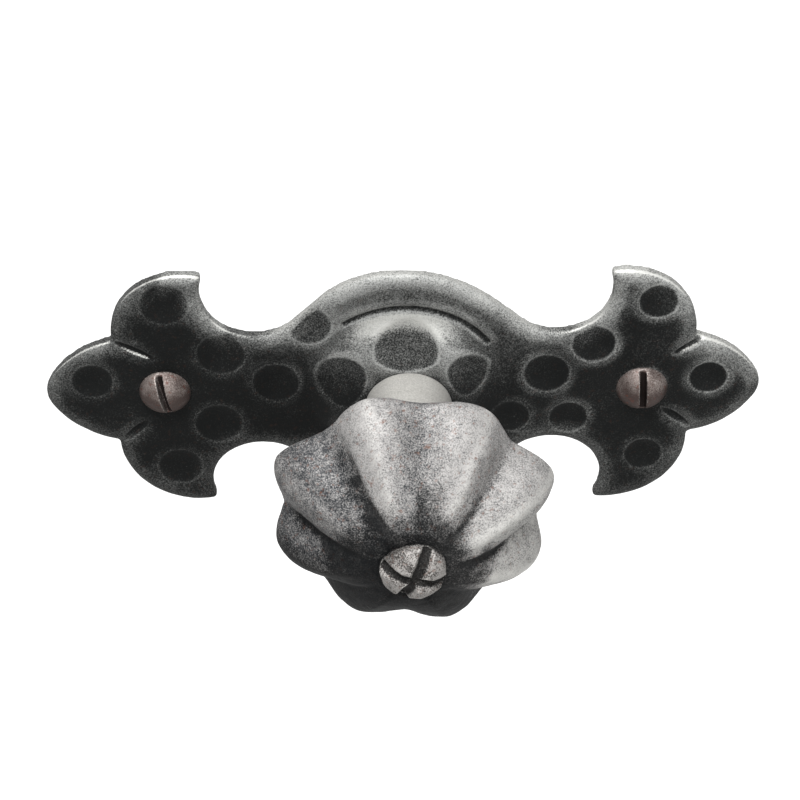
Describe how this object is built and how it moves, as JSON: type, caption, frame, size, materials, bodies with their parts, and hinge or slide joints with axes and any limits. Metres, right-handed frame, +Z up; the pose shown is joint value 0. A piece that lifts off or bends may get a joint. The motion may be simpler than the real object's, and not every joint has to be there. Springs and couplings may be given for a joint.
{
  "type": "cabinet knob with backplate",
  "caption": "Fluted wrought cabinet knob riveted on a turned neck to a hammered backplate with hooked petal ends, fixed by round-head wood screws.",
  "frame": {"origin": "middle of the backplate's back face, in the plane that lies against the door or drawer front", "axes": "X along the backplate, +Z up, the knob stands out towards -Y"},
  "size_m": [0.095, 0.0524, 0.0391],
  "materials": {
    "blackened_plate": "hammered, blackened and waxed steel with rubbed grey edges",
    "bare_neck": "turned bare steel, dull",
    "rubbed_knob": "forged steel, blackened and rubbed back to a speckled grey",
    "blackened_rivet": "chiselled and blackened steel, bright on the worn pads",
    "aged_screws": "dull nickelled steel with a brown tinge of rust"
  },
  "bodies": {
    "root": {"backplate": "blackened_plate", "neck": "bare_neck", "knob": "rubbed_knob", "rivet": "blackened_rivet", "screw_left": "aged_screws", "screw_right": "aged_screws"}
  },
  "joints": []
}
